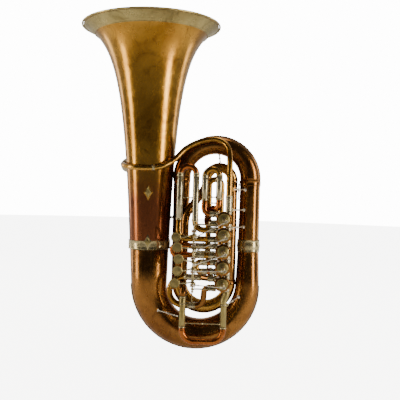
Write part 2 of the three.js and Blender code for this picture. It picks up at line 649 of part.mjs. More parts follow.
// The hinge rod with its three brackets, which reach across to the casings.
function hingeGeometry() {
  const axis = rod(vec(HINGE[0], HINGE[1], 203), vec(HINGE[0], HINGE[1], 411), 3.1, 10);
  const brackets = [405, 323.5, 208].map((z) => {
    const end = z > 400 || z < 220 ? 54.5 : 48.5;
    return block(vec(HINGE[0] - 4, HINGE[1] + 4, z - 2.6), vec(end, HINGE[1] + 8.6, z + 2.6));
  });
  const posts = [405, 323.5, 208].map((z) =>
    block(vec(HINGE[0] - 4, HINGE[1] - 3.6, z - 2.6), vec(HINGE[0] + 4, HINGE[1] + 8.6, z + 2.6)));
  return geometryOf(joined(axis, ...brackets, ...posts));
}

addPiece('hinge_rod', hingeGeometry(), NICKEL);

// ---------------------------------------------------------------- braces

const braces = {
  brace_upper: [[98, -92, 515], [138.8, -28.8, 515], 2.2],
  brace_lower_right: [[91.5, -90, 160], [128, -38, 176], 2],
  brace_lower_left: [[-57, -93, 120], [-122, -56, 130], 2],
};
for (const [name, [from, to, radius]] of Object.entries(braces)) {
  addPiece(name, rod(vec(...from), vec(...to), radius, 8), NICKEL);
}

export default tuba;
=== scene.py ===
"""Looks of the five-valve rotary tuba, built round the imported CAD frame.

Lengths are in millimetres, except in the studio and the materials, which are in metres.
"""
import math

import bmesh
import bpy
from mathutils import Matrix, Quaternion, Vector


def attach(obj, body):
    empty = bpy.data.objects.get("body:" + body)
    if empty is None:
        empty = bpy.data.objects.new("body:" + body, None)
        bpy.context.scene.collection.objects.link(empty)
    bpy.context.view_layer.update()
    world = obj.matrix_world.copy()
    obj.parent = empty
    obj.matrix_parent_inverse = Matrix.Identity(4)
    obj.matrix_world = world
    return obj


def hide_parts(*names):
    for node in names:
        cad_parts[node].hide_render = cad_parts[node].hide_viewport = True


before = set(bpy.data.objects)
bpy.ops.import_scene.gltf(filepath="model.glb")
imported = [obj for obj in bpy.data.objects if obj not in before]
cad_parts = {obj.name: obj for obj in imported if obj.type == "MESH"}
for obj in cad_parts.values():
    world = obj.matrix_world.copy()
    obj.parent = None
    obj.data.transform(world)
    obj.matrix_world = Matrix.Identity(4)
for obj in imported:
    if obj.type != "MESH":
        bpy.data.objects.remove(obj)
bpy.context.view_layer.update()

MM = 0.001

# ---- driving dimensions, as in the CAD frame
RIM_RADIUS, BELL_LENGTH = 216, 700
FLARE_OFFSET, FLARE_POWER = 55, 0.467
BELL_LEAN = math.radians(1.1)
BOW_REACH = 157.8
BOW_RADII = (62.5, 33.5)
BOW_Z = BOW_REACH + 48.1 + 1.5
BELL_FOOT = 121
LIMB_Z = 330
TOP_BOW_Z, TOP_BOW_REACH = 546, 109.7
INNER_X = BOW_REACH - 2 * TOP_BOW_REACH
INNER_BOW_Z, INNER_BOW_REACH = 217.7, 81.3
RISER_X = INNER_X + 2 * INNER_BOW_REACH
INNER_TOP_Z, INNER_TOP_REACH = 542.5, 41.5
RETURN_X = RISER_X - 2 * INNER_TOP_REACH
VALVE_X, VALVE_Y, TOP_VALVE_Z, VALVE_PITCH = 73, -94, 423, 49.5
PORT, TUBE, CROOK, SLIDE = 14.1, 10, 9.4, 8.7
STUB_X = VALVE_X - 26
HINGE_X, HINGE_Y = -17, -114
CRANK, CRANK_ANGLE = 28.3, math.radians(13)
DRUM_TOP_Z, DRUM_PITCH, HUB_OFFSET = 384.5, 41.2, 10.5
PADDLE_X = (-71, -66, -61, -63, -71)
PADDLE_Z = (366, 336, 301, 265, 228)
PADDLE_Y = -137
LINK_Y = HINGE_Y - CRANK * math.cos(CRANK_ANGLE)
CRANK_X = HINGE_X + CRANK * math.sin(CRANK_ANGLE)
STOP = 9 * math.sqrt(0.5)
MAIN_LEFT_X, MAIN_RIGHT_X = -46, 80
FIRST_LOOP_X, SECOND_LOOP_X = (12.5, 56.5), (-15, -64.5)
FIFTH_Y, BACK_LOOP_Y = -72, -42
CAP_Y, ARM_Y = VALVE_Y - 22, VALVE_Y - 35
BELL_SHEET, SHEET, THIN_SHEET = 1.0, 0.9, 0.8
WIRE = 1.9
MOUTH_X, MOUTH_Z = -253, 588
UP, BACK = Vector((0, 0, 1)), Vector((0, 1, 0))


def valve_z(k):
    return TOP_VALVE_Z - k * VALVE_PITCH


def drum_z(k):
    return DRUM_TOP_Z - k * DRUM_PITCH


def hub_z(k):
    return drum_z(k) + (-HUB_OFFSET if k < 3 else HUB_OFFSET)


def mix(a, b, share):
    return a + (b - a) * share


def flare(t):
    """The bell's outer radius at t below the rim."""
    return RIM_RADIUS * (FLARE_OFFSET / (t + FLARE_OFFSET)) ** FLARE_POWER


def off_flare(t, away):
    """A (radius, height) pair that stands away from the bell's outer face at t below the rim."""
    slope = FLARE_POWER * flare(t) / (t + FLARE_OFFSET)
    size = math.hypot(1, slope)
    return flare(t) + away / size, -t - away * slope / size


# ---- materials
class Graph:
    """A material's nodes, made and linked in one call each."""

    def __init__(self, name):
        self.material = bpy.data.materials.new(name)
        self.material.use_nodes = True
        self.tree = self.material.node_tree
        self.shader = self.tree.nodes["Principled BSDF"]
        self.place = self.tree.nodes.new("ShaderNodeTexCoord").outputs["Object"]

    def node(self, kind, **inputs):
        made = self.tree.nodes.new(kind)
        for key, value in inputs.items():
            socket = made.inputs[key.replace("_", " ")]
            if isinstance(value, bpy.types.NodeSocket):
                self.tree.links.new(value, socket)
            else:
                socket.default_value = value
        return made

    def stretched(self, scale):
        return self.node("ShaderNodeMapping", Vector=self.place, Scale=scale).outputs[0]

    def noise(self, scale, detail=4.0, rough=0.55, twist=0.0, stretch=None):
        where = self.stretched(stretch) if stretch else self.place
        made = self.node("ShaderNodeTexNoise", Vector=where, Scale=scale, Detail=detail,
                         Roughness=rough, Distortion=twist)
        return made.outputs["Fac"]

    def remap(self, value, low, high, to_low=0.0, to_high=1.0):
        made = self.node("ShaderNodeMapRange", Value=value)
        for index, number in zip((1, 2, 3, 4), (low, high, to_low, to_high)):
            made.inputs[index].default_value = number
        return made.outputs[0]

    def blend(self, share, first, second):
        made = self.tree.nodes.new("ShaderNodeMix")
        made.data_type = "RGBA"
        self.tree.links.new(share, made.inputs[0])
        for index, colour in ((6, first), (7, second)):
            if isinstance(colour, bpy.types.NodeSocket):
                self.tree.links.new(colour, made.inputs[index])
            else:
                made.inputs[index].default_value = (*colour, 1)
        return made.outputs[2]

    def maths(self, operation, first, second):
        made = self.tree.nodes.new("ShaderNodeMath")
        made.operation = operation
        for index, value in enumerate((first, second)):
            if isinstance(value, bpy.types.NodeSocket):
                self.tree.links.new(value, made.inputs[index])
            else:
                made.inputs[index].default_value = value
        return made.outputs[0]

    def bump(self, height, strength, distance, under=None):
        made = self.node("ShaderNodeBump", Height=height, Strength=strength, Distance=distance)
        if under:
            self.tree.links.new(under, made.inputs["Normal"])
        return made.outputs[0]

    def finish(self, colour, roughness, normal, metallic):
        self.shader.inputs["Metallic"].default_value = metallic
        self.tree.links.new(colour, self.shader.inputs["Base Color"])
        self.tree.links.new(roughness, self.shader.inputs["Roughness"])
        self.tree.links.new(normal, self.shader.inputs["Normal"])
        return self.material


def aged_metal(name, bright, middle, dark, rough=(0.2, 0.42), spots=0.5, wobble=0.35, fade=None,
               metallic=1.0):
    """Raw metal with cloudy patina, dark specks, handling streaks and slightly uneven sheet."""
    graph = Graph(name)
    clouds = graph.noise(7.0, 6.0, 0.6, 0.5)
    colour = graph.blend(graph.remap(clouds, 0.36, 0.62), middle, bright)
    blotches = graph.noise(19.0, 7.0, 0.68, 1.1)
    colour = graph.blend(graph.remap(blotches, 0.52, 0.74, 0.0, 0.75), colour, dark)
    if fade:
        low, high, tint = fade
        height = graph.node("ShaderNodeSeparateXYZ", Vector=graph.place).outputs[2]
        uneven = graph.maths("ADD", height, graph.remap(blotches, 0.2, 0.8, -0.05, 0.05))
        colour = graph.blend(graph.remap(uneven, low, high, 1.0, 0.0), colour, tint)
    specks = graph.noise(230.0, 3.0, 0.6)
    colour = graph.blend(graph.remap(specks, 0.62, 0.72, 0.0, spots), colour, dark)
    streaks = graph.noise(1.0, 5.0, 0.65, 0.0, (120, 120, 9))
    smears = graph.noise(42.0, 5.0, 0.6, 0.8)
    roughness = graph.remap(graph.maths("ADD", streaks, smears), 0.75, 1.3, *rough)
    waves = graph.bump(graph.noise(11.0, 2.0, 0.4), wobble, 0.0016)
    grain = graph.bump(graph.noise(700.0, 2.0, 0.5, 0.0, (1, 1, 0.25)), 0.10, 0.0002, waves)
    dents = graph.bump(graph.noise(64.0, 3.0, 0.55), 0.12, 0.0005, grain)
    return graph.finish(colour, roughness, dents, metallic)


BRASS = aged_metal("brass", (0.54, 0.30, 0.065), (0.31, 0.15, 0.028), (0.085, 0.036, 0.010), (0.17, 0.34))
BELL_BRASS = aged_metal("bell_brass", (0.46, 0.245, 0.042), (0.28, 0.13, 0.020), (0.11, 0.043, 0.011),
                        (0.15, 0.30), 0.35, 0.3, (0.46, 0.62, (0.21, 0.070, 0.028)))
RED_BRASS = aged_metal("red_brass", (0.36, 0.17, 0.045), (0.20, 0.082, 0.023), (0.055, 0.022, 0.009),
                       (0.16, 0.33))
COPPER = aged_metal("copper", (0.50, 0.17, 0.045), (0.30, 0.085, 0.022), (0.11, 0.03, 0.010), (0.18, 0.36))
NICKEL = aged_metal("nickel_silver", (0.52, 0.45, 0.26), (0.35, 0.29, 0.15), (0.13, 0.10, 0.045),
                    (0.16, 0.34), 0.45, 0.12, metallic=0.88)
SLEEVE = aged_metal("sleeve_nickel", (0.58, 0.52, 0.36), (0.40, 0.345, 0.21), (0.15, 0.12, 0.06),
                    (0.14, 0.3), 0.4, 0.08, metallic=0.85)
OLD_NICKEL = aged_metal("worn_nickel", (0.45, 0.37, 0.155), (0.30, 0.235, 0.085), (0.12, 0.09, 0.03),
                        (0.24, 0.46), 0.6, 0.12, metallic=0.92)
STEEL = aged_metal("steel", (0.86, 0.83, 0.75), (0.70, 0.66, 0.56), (0.32, 0.28, 0.21),
                   (0.18, 0.36), 0.3, 0.05, metallic=0.72)


# ---- mesh helpers
def piece(name, points, faces, material, body="root", sharp=35):
    """One riding object from points in millimetres."""
    mesh = bpy.data.meshes.new(name)
    mesh.from_pydata([tuple(p * MM for p in point) for point in points], [], faces)
    mesh.update()
    mesh.materials.append(material)
    mesh.shade_smooth()
    mesh.set_sharp_from_angle(angle=math.radians(sharp))
    made = bpy.data.objects.new(name, mesh)
    bpy.context.scene.collection.objects.link(made)
    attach(made, body)
    return made


def merged(parts):
    """Several (points, faces) lists as one."""
    points, faces = [], []
    for more_points, more_faces in parts:
        shift = len(points)
        points += more_points
        faces += [tuple(i + shift for i in face) for face in more_faces]
    return points, faces


class Route:
    """Stops with headings along straight runs and rounded corners."""

    def __init__(self, stops, headings):
        self.stops, self.headings = stops, headings
        self.along = [0.0]
        for before, after in zip(stops, stops[1:]):
            self.along.append(self.along[-1] + (after - before).length)
        self.total = self.along[-1]

    def at(self, distance):
        distance = min(max(distance, 0.0), self.total)
        for i in range(len(self.stops) - 1):
            if distance <= self.along[i + 1] + 1e-9:
                share = (distance - self.along[i]) / (self.along[i + 1] - self.along[i])
                heading = self.headings[i].lerp(self.headings[i + 1], share).normalized()
                return self.stops[i].lerp(self.stops[i + 1], share), heading
        return self.stops[-1].copy(), self.headings[-1].copy()

    def cut(self, start, end):
        inside = [i for i, d in enumerate(self.along) if start + 0.05 < d < end - 0.05]
        first, last = self.at(start), self.at(end)
        stops = [first[0], *(self.stops[i] for i in inside), last[0]]
        headings = [first[1], *(self.headings[i] for i in inside), last[1]]
        return Route(stops, headings)


def rounded(corners, bends, step=7.5):
    points = [Vector(c) for c in corners]
    bends = bends if isinstance(bends, (list, tuple)) else [bends] * (len(points) - 2)
    stops, headings = [points[0]], [(points[1] - points[0]).normalized()]

    def mark(point, heading):
        if (point - stops[-1]).length > 0.05:
            stops.append(point)
            headings.append(heading)

    for i in range(1, len(points) - 1):
        arriving = (points[i] - points[i - 1]).normalized()
        leaving = (points[i + 1] - points[i]).normalized()
        angle = arriving.angle(leaving)
        start = points[i] - arriving * bends[i - 1] * math.tan(angle / 2)
        axis = arriving.cross(leaving).normalized()
        spoke = arriving.cross(axis) * bends[i - 1]
        count = max(2, round(math.degrees(angle) / step))
        for n in range(count + 1):
            turn = Quaternion(axis, angle * n / count)
            mark(start - spoke + turn @ spoke, turn @ arriving)
    mark(points[-1], (points[-1] - points[-2]).normalized())
    return Route(stops, headings)


def free_curve(points, steps):
    """A centripetal Catmull-Rom curve through the points."""
    knots = [Vector(p) for p in points]
    ends = [knots[0] * 2 - knots[1], *knots, knots[-1] * 2 - knots[-2]]
    fine = []
    for i in range(1, len(ends) - 2):
        p0, p1, p2, p3 = ends[i - 1:i + 3]
        t1 = (p1 - p0).length ** 0.5
        t2 = t1 + (p2 - p1).length ** 0.5
        t3 = t2 + (p3 - p2).length ** 0.5
        for n in range(12):
            t = mix(t1, t2, n / 12)
            a1 = p0.lerp(p1, t / t1)
            a2 = p1.lerp(p2, (t - t1) / (t2 - t1))
            a3 = p2.lerp(p3, (t - t2) / (t3 - t2))
            fine.append(a1.lerp(a2, t / t2).lerp(a2.lerp(a3, (t - t1) / (t3 - t1)), (t - t1) / (t2 - t1)))
    fine.append(knots[-1])
    rough = Route(fine, [UP] * len(fine))
    stops = [rough.at(rough.total * n / steps)[0] for n in range(steps + 1)]
    headings = []
    for n in range(steps + 1):
        headings.append((stops[min(n + 1, steps)] - stops[max(n - 1, 0)]).normalized())
    return Route(stops, headings)


def frames(route):
    """A side vector at each stop, carried along without twist."""
    first = BACK if abs(route.headings[0].dot(BACK)) < 0.9 else UP
    side = (first - route.headings[0] * first.dot(route.headings[0])).normalized()
    sides = [side]
    for before, after in zip(route.headings, route.headings[1:]):
        side = before.rotation_difference(after) @ side
        side = (side - after * side.dot(after)).normalized()
        sides.append(side)
    return sides


def tube(route, radius, wall=SHEET, sides=28, start=0.0, sweep=360.0, edge=0.35):
    """Sheet bent round a route, with eased end edges. radius is a number or a function of the share."""
    radius_at = radius if callable(radius) else (lambda share: radius)
    ring_sides = frames(route)
    whole = sweep >= 360
    columns = sides if whole else sides + 1
    rings = []
    count = len(route.stops)

    def ring(i, inset, slip=0.0):
        share = route.along[i] / route.total
        centre = route.stops[i] + route.headings[i] * slip
        across = route.headings[i].cross(ring_sides[i])
        reach = radius_at(share) - inset
        out = []
        for j in range(columns):
            angle = math.radians(start + sweep * j / sides)
            out.append(centre + (ring_sides[i] * math.cos(angle) + across * math.sin(angle)) * reach)
        return out

    ease = min(edge, wall * 0.4)
    rings.append(ring(0, ease))
    rings.append(ring(0, 0, ease))
    rings += [ring(i, 0) for i in range(1, count - 1)]
    rings.append(ring(count - 1, 0, -ease))
    rings.append(ring(count - 1, ease))
    rings += [ring(i, wall) for i in range(count - 1, -1, -1)]
    points = [point for row in rings for point in row]
    faces = []
    rows = len(rings)
    for i in range(rows):
        for j in range(sides):
            a, b = i * columns + j, i * columns + (j + 1) % columns
            c, d = ((i + 1) % rows) * columns + (j + 1) % columns, ((i + 1) % rows) * columns + j
            faces.append((a, d, c, b))
    if not whole:
        outer = count + 2
        for column, flip in ((0, False), (sides, True)):
            for i in range(count - 1):
                low, high = i + 1, i + 2
                inner_low, inner_high = outer + count - 1 - i, outer + count - 2 - i
                row = [low * columns + column, high * columns + column,
                       inner_high * columns + column, inner_low * columns + column]
                faces.append(tuple(reversed(row)) if flip else tuple(row))
    return points, faces


def bar(route, radius, sides=16):
    """A solid round bar along a route, with domed ends."""
    radius_at = radius if callable(radius) else (lambda share: radius)
    ring_sides = frames(route)
    rows = []
    last = len(route.stops) - 1

    def ring(i, scale, slip):
        across = route.headings[i].cross(ring_sides[i])
        reach = radius_at(route.along[i] / route.total) * scale
        centre = route.stops[i] + route.headings[i] * slip
        return [centre + (ring_sides[i] * math.cos(math.tau * j / sides)
                          + across * math.sin(math.tau * j / sides)) * reach for j in range(sides)]

    dome = radius_at(0) * 0.35
    rows.append(ring(0, 0.55, 0))
    rows.append(ring(0, 1, dome))
    rows += [ring(i, 1, 0) for i in range(1, last)]
    rows.append(ring(last, 1, -dome))
    rows.append(ring(last, 0.55, 0))
    points = [point for row in rows for point in row]
    faces = []
    for i in range(len(rows) - 1):
        for j in range(sides):
            k = (j + 1) % sides
            faces.append((i * sides + j, (i + 1) * sides + j, (i + 1) * sides + k, i * sides + k))
    faces.append(tuple(range(sides)))
    top = (len(rows) - 1) * sides
    faces.append(tuple(top + j for j in reversed(range(sides))))
    return points, faces


def straight(start, end, count=2):
    start, end = Vector(start), Vector(end)
    heading = (end - start).normalized()
    return Route([start.lerp(end, n / (count - 1)) for n in range(count)], [heading] * count)


def turned(outline, origin, axis, sides=48, closed=False):
    """A lathe: (radius, height) pairs round an axis. closed joins the last pair to the first."""
    axis = Vector(axis).normalized()
    side = axis.orthogonal().normalized()
    across = axis.cross(side)
    origin = Vector(origin)
    points, faces = [], []
    for radius, height in outline:
        for j in range(sides):
            angle = math.tau * j / sides
            spoke = side * math.cos(angle) + across * math.sin(angle)
            points.append(origin + axis * height + spoke * max(radius, 0.01))
    rows = len(outline)
    for i in range(rows if closed else rows - 1):
        for j in range(sides):
            k = (j + 1) % sides
            n = (i + 1) % rows
            faces.append((i * sides + j, i * sides + k, n * sides + k, n * sides + j))
    if not closed:
        faces.append(tuple(reversed(range(sides))))
        faces.append(tuple((rows - 1) * sides + j for j in range(sides)))
    return points, faces


def collar(at, axis, inner, height, proud=1.2, sides=40):
    """A small turned ring with a bead at each end."""
    h, r = height / 2, inner + proud
    outline = [(inner, -h), (r + 0.3, -h), (r + 0.9, -h + 0.7), (r + 0.3, -h + 1.5), (r, -h + 2),
               (r, h - 2), (r + 0.3, h - 1.5), (r + 0.9, h - 0.7), (r + 0.3, h), (inner, h)]
    return turned(outline, at, axis, sides, True)


def screw(at, axis, radius):
    """A round-headed screw with a slot."""
    head = [(radius * 0.55, -radius * 0.5), (radius, -radius * 0.5), (radius, 0),
            (radius * 0.8, radius * 0.35), (radius * 0.35, radius * 0.5)]
    points, faces = turned(head, at, axis, 20)
    axis = Vector(axis).normalized()
    side = axis.orthogonal().normalized()
    across = axis.cross(side)
    slot_points = []
    for height in (radius * 0.40, radius * 0.56):
        for a, b in ((-0.75, -0.12), (0.75, -0.12), (0.75, 0.12), (-0.75, 0.12)):
            slot_points.append(Vector(at) + axis * height + side * a * radius + across * b * radius)
    slot_faces = [(3, 2, 1, 0), (4, 5, 6, 7), (0, 1, 5, 4), (1, 2, 6, 5), (2, 3, 7, 6), (3, 0, 4, 7)]
    return merged([(points, faces), (slot_points, slot_faces)])


def add(name, shape, material, body="root", replaces=(), sharp=35):
    made = piece(name, *shape, material, body, sharp)
    if replaces:
        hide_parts(*([replaces] if isinstance(replaces, str) else replaces))
    return made


# ---- camera, light and floor
CAMERA_PLACE = (-0.0027, -2.0, 0.510)
CAMERA_LENS, CAMERA_SHIFT, CAMERA_ROLL = 55.9, -0.025, math.radians(1.75)
WORLD_SEEN, FLOOR_SEEN = 14.0, 7.0
WORLD_FRONT, WORLD_BACK = 0.06, 0.75
FLOOR_REACH, FLOOR_SIDES = 9, 64
LAMP_COLOUR = (1.0, 0.87, 0.66)
# name, place, target, width, height, power
SOFTBOXES = (
    ("key_right", (2.1, -1.25, 0.75), (0, 0, 0.5), 0.5, 1.7, 48),
    ("key_left", (-2.2, -0.5, 0.8), (0, 0, 0.5), 0.45, 1.7, 26),
    ("edge_left", (-2.2, 1.3, 1.0), (0, 0, 0.5), 0.5, 1.8, 12),
    ("edge_right", (2.2, 1.3, 1.0), (0, 0, 0.5), 0.5, 1.8, 14),
    ("top", (0.1, 0.1, 2.7), (0, 0, 0.4), 1.2, 0.9, 14),
)


def paper_floor():
    """Pale matt paper, with a faint glow near and behind the object and a strong one for the camera only."""
    graph = Graph("paper")
    fibres = graph.noise(60.0, 5.0, 0.6)
    colour = graph.blend(graph.remap(fibres, 0.35, 0.65), (0.88, 0.88, 0.87), (0.93, 0.93, 0.92))
    graph.tree.links.new(colour, graph.shader.inputs["Base Color"])
    graph.shader.inputs["Roughness"].default_value = 0.9
    graph.shader.inputs["Emission Color"].default_value = (1, 1, 0.99, 1)
    apart = graph.node("ShaderNodeSeparateXYZ", Vector=graph.place).outputs
    glow = graph.remap(apart[1], -0.62, -0.50, 0.0, 0.25)
    seen = graph.maths("MULTIPLY", graph.node("ShaderNodeLightPath").outputs["Is Camera Ray"], FLOOR_SEEN)
    graph.tree.links.new(graph.maths("MAXIMUM", glow, seen), graph.shader.inputs["Emission Strength"])
    return graph.material


def build_camera():
    camera_data = bpy.data.cameras.new("camera")
    camera = bpy.data.objects.new("camera", camera_data)
    bpy.context.scene.collection.objects.link(camera)
    camera_data.sensor_width = 36
    camera_data.lens = CAMERA_LENS
    camera_data.shift_y = CAMERA_SHIFT
    upright = Matrix.Rotation(math.radians(90), 4, "X")
    camera.matrix_world = Matrix.Translation(CAMERA_PLACE) @ upright @ Matrix.Rotation(CAMERA_ROLL, 4, "Z")
    bpy.context.scene.camera = camera


def build_floor():
    mesh = bpy.data.meshes.new("floor")
    ring = []
    for n in range(FLOOR_SIDES):
        angle = math.tau * n / FLOOR_SIDES
        ring.append((FLOOR_REACH * math.cos(angle), FLOOR_REACH * math.sin(angle), -0.001))
    mesh.from_pydata(ring, [], [tuple(range(FLOOR_SIDES))])
    floor = bpy.data.objects.new("floor", mesh)
    bpy.context.scene.collection.objects.link(floor)
    mesh.materials.append(paper_floor())


def build_world():
    """White to the camera. To everything else, dim in front and brighter behind."""
    world = bpy.data.worlds.new("studio")
    bpy.context.scene.world = world
    world.use_nodes = True
    nodes, links = world.node_tree.nodes, world.node_tree.links
    nodes.clear()
    seen, light = nodes.new("ShaderNodeBackground"), nodes.new("ShaderNodeBackground")
    seen.inputs[0].default_value = (1, 1, 0.995, 1)
    seen.inputs[1].default_value = WORLD_SEEN
    direction = nodes.new("ShaderNodeTexCoord").outputs["Generated"]
    apart = nodes.new("ShaderNodeSeparateXYZ")
    links.new(direction, apart.inputs[0])
    ramp = nodes.new("ShaderNodeMapRange")
    for index, number in zip((1, 2, 3, 4), (-0.2, 0.95, WORLD_FRONT, WORLD_BACK)):
        ramp.inputs[index].default_value = number
    links.new(apart.outputs[1], ramp.inputs[0])
    light.inputs[0].default_value = (1.0, 0.98, 0.95, 1)
    links.new(ramp.outputs[0], light.inputs[1])
    path = nodes.new("ShaderNodeLightPath")
    choose = nodes.new("ShaderNodeMixShader")
    out = nodes.new("ShaderNodeOutputWorld")
    links.new(path.outputs["Is Camera Ray"], choose.inputs[0])
    links.new(light.outputs[0], choose.inputs[1])
    links.new(seen.outputs[0], choose.inputs[2])
    links.new(choose.outputs[0], out.inputs[0])


def build_softboxes():
    for name, place, target, width, height, power in SOFTBOXES:
        data = bpy.data.lights.new(name, "AREA")
        data.shape = "RECTANGLE"
        data.size, data.size_y, data.energy = width, height, power
        data.color = LAMP_COLOUR
        made = bpy.data.objects.new(name, data)
        bpy.context.scene.collection.objects.link(made)
        aim = Vector(target) - Vector(place)
        made.rotation_euler = aim.to_track_quat("-Z", "Y").to_euler()
        made.location = place


# ---- bell
BELL_UP = Vector((-math.sin(BELL_LEAN), 0, math.cos(BELL_LEAN)))
BOW_LEFT = Vector((-BOW_REACH, 0, BOW_Z))
RIM = BOW_LEFT + BELL_UP * (BELL_FOOT + BELL_LENGTH)


def build_bell():
    count = 60
    stations = [BELL_LENGTH * (n / count) ** 2.2 for n in range(count + 1)]
    outer = [(flare(t), -t) for t in stations]
    inner = [off_flare(t, -BELL_SHEET) for t in stations]
    add("bell_sheet", turned([*reversed(outer), *inner], RIM, BELL_UP, 128, True), BELL_BRASS,
        replaces="bell", sharp=50)


def build_garland():
    spans = [1.2 + n * 1.6 for n in range(15)]
    outer = [off_flare(t, 1.3) for t in spans]
    lip = [off_flare(25.2, 1.3), off_flare(25.6, 2.3), off_flare(26.6, 2.3), off_flare(27.2, 0.5)]
    inner = [off_flare(t, 0.35) for t in reversed(spans)]
    band = turned([*outer, *lip, *inner], RIM, BELL_UP, 128, True)
    bead = []
    for n in range(14):
        angle = math.tau * n / 14
        bead.append((RIM_RADIUS + 3.4 + 3.1 * math.cos(angle), 0.4 + 3.1 * math.sin(angle)))
    groove = [off_flare(19.6, 1.2), off_flare(19.9, 1.9), off_flare(20.6, 1.9), off_flare(20.9, 1.2)]
    parts = [band, turned(list(reversed(bead)), RIM, BELL_UP, 128, True),
             turned(groove, RIM, BELL_UP, 128, True)]
    made = add("garland_band", merged(parts), OLD_NICKEL, replaces="garland", sharp=50)
    fix_normals(made)


def fix_normals(made):
    """Turns every closed shell of a piece to face outwards."""
    mesh = bmesh.new()
    mesh.from_mesh(made.data)
    bmesh.ops.recalc_face_normals(mesh, faces=mesh.faces)
    mesh.to_mesh(made.data)
    mesh.free()


def build_bell_trim():
    low, high = -BELL_LENGTH - 10, -BELL_LENGTH + 18
    outline = [(65.3, low), (67.0, low), (68.0, low + 1), (67.0, low + 2.2), (66.6, low + 3),
               (67.0, low + 12), (67.1, low + 14), (67.0, high - 12), (66.6, high - 3),
               (67.0, high - 2.2), (68.0, high - 1), (67.0, high), (65.3, high)]
    made = add("bell_ferrule_ring", turned(outline, RIM, BELL_UP, 96, True), NICKEL,
               replaces="bell_ferrule")
    fix_normals(made)
    add("bell_ferrule_plate", front_plate(lozenge(25, 0.5), BELL_LENGTH - 14, 4.8), NICKEL, sharp=40)
    add("bell_ferrule_inset", front_plate(lozenge(16, 0.5), BELL_LENGTH - 14, 5.6), OLD_NICKEL, sharp=40)
    add("badge_plate", front_plate(lozenge(25, 0.5), 531, 1.3), BRASS, replaces="badge")
    add("badge_inset", front_plate(lozenge(17, 0.5), 531, 2.1), OLD_NICKEL)


def lozenge(half, pinch):
    """A four-pointed plate with hollowed sides."""
    outline = []
    corners = [(0, half), (half * 0.58, 0), (0, -half), (-half * 0.58, 0)]
    for (ax, az), (bx, bz) in zip(corners, corners[1:] + corners[:1]):
        for n in range(8):
            share = n / 8
            dip = 1 - 0.22 * math.sin(math.pi * share) * pinch
            outline.append((mix(ax, bx, share) * dip, mix(az, bz, share) * dip))
    return outline


def front_plate(outline, drop, thick):
    """A thin plate laid on the front of the bell, drop below the rim."""
    east = Vector((math.cos(BELL_LEAN), 0, math.sin(BELL_LEAN)))
    points, faces = [], []
    count = len(outline)
    for layer in (0.25, thick, thick + 0.35):
        shrink = 0.93 if layer > thick else 1.0
        for x, z in outline:
            height = -drop + z * shrink
            surface = flare(-height) + 0.2 + layer
            angle = x * shrink / surface
            out = east * math.sin(angle) - BACK * math.cos(angle)
            points.append(RIM + BELL_UP * height + out * surface)
    for n in range(count):
        k = (n + 1) % count
        faces.append((n, k, count + k, count + n))
        faces.append((count + n, count + k, 2 * count + k, 2 * count + n))
    faces.append(tuple(reversed(range(count))))
    centre_z = sum(z for _, z in outline) / count
    height = -drop + centre_z
    points.append(RIM + BELL_UP * height - BACK * (flare(-height) + 0.6 + thick))
    for n in range(count):
        faces.append((2 * count + n, 2 * count + (n + 1) % count, 3 * count))
    return points, faces


# ---- bows and branches
def half_turn(left_x, right_x, z, up):
    reach = (right_x - left_x) / 2
    top = z + (reach if up else -reach)
    return rounded([(right_x, 0, z), (right_x, 0, top), (left_x, 0, top), (left_x, 0, z)], reach, 4)


def bottom_route():
    stops = [BOW_LEFT + BELL_UP * (BELL_FOOT - 0.3)]
    headings = [-BELL_UP]
    steps = 48
    for n in range(steps + 1):
        turn = mix(-math.pi + BELL_LEAN, 0, n / steps)
        stops.append(Vector((BOW_REACH * math.cos(turn), 0, BOW_Z + BOW_REACH * math.sin(turn))))
        headings.append(Vector((-math.sin(turn), 0, math.cos(turn))))
    stops.append(Vector((BOW_REACH, 0, LIMB_Z)))
    headings.append(UP)
    return Route(stops, headings)


def taper(first, last):
    return lambda share: mix(first, last, share)


BOTTOM = bottom_route()
TOP = half_turn(INNER_X, BOW_REACH, TOP_BOW_Z + 0.3, True)
LIMB = straight((BOW_REACH, 0, LIMB_Z + 0.3), (BOW_REACH, 0, TOP_BOW_Z), 8)
INNER = straight((INNER_X, 0, TOP_BOW_Z), (INNER_X, 0, INNER_BOW_Z + 0.3), 8)
INNER_BOW = half_turn(INNER_X, RISER_X, INNER_BOW_Z, False)
RISER = straight((RISER_X, 0, INNER_BOW_Z + 0.3), (RISER_X, 0, INNER_TOP_Z - 0.3), 8)
INNER_TOP = half_turn(RETURN_X, RISER_X, INNER_TOP_Z, True)
RETURN = rounded([
    (RETURN_X, 0, INNER_TOP_Z - 0.3), (RETURN_X, 0, 522), (MAIN_LEFT_X, -50, 430),
    (MAIN_LEFT_X, -50, 230), (MAIN_LEFT_X, VALVE_Y, 202), (MAIN_LEFT_X, VALVE_Y, 184),
], [45, 60, 22, 16])


def build_branches():
    rows = [
        ("bottom_bow_tube", BOTTOM, BOW_RADII, RED_BRASS, "bottom_bow", 72),
        ("outer_branch_tube", LIMB, (33.5, 32.5), RED_BRASS, "outer_branch", 56),
        ("top_bow_tube", TOP, (32.5, 27), RED_BRASS, "top_bow", 56),
        ("inner_branch_tube", INNER, (27, 24.5), RED_BRASS, "inner_branch", 48),
        ("inner_bottom_bow_tube", INNER_BOW, (18, 24.5), BRASS, "inner_bottom_bow", 48),
        ("inner_riser_tube", RISER, (18, 16.5), RED_BRASS, "inner_riser", 40),
        ("inner_top_bow_tube", INNER_TOP, (16.5, 14.5), BRASS, "inner_top_bow", 40),
        ("tuning_return_tube", RETURN, (14, 10), RED_BRASS, "tuning_return", 36),
    ]
    for name, route, radii, material, node, sides in rows:
        add(name, tube(route, taper(*radii), SHEET, sides), material, replaces=node, sharp=50)


GUARD_SWEEP = 44


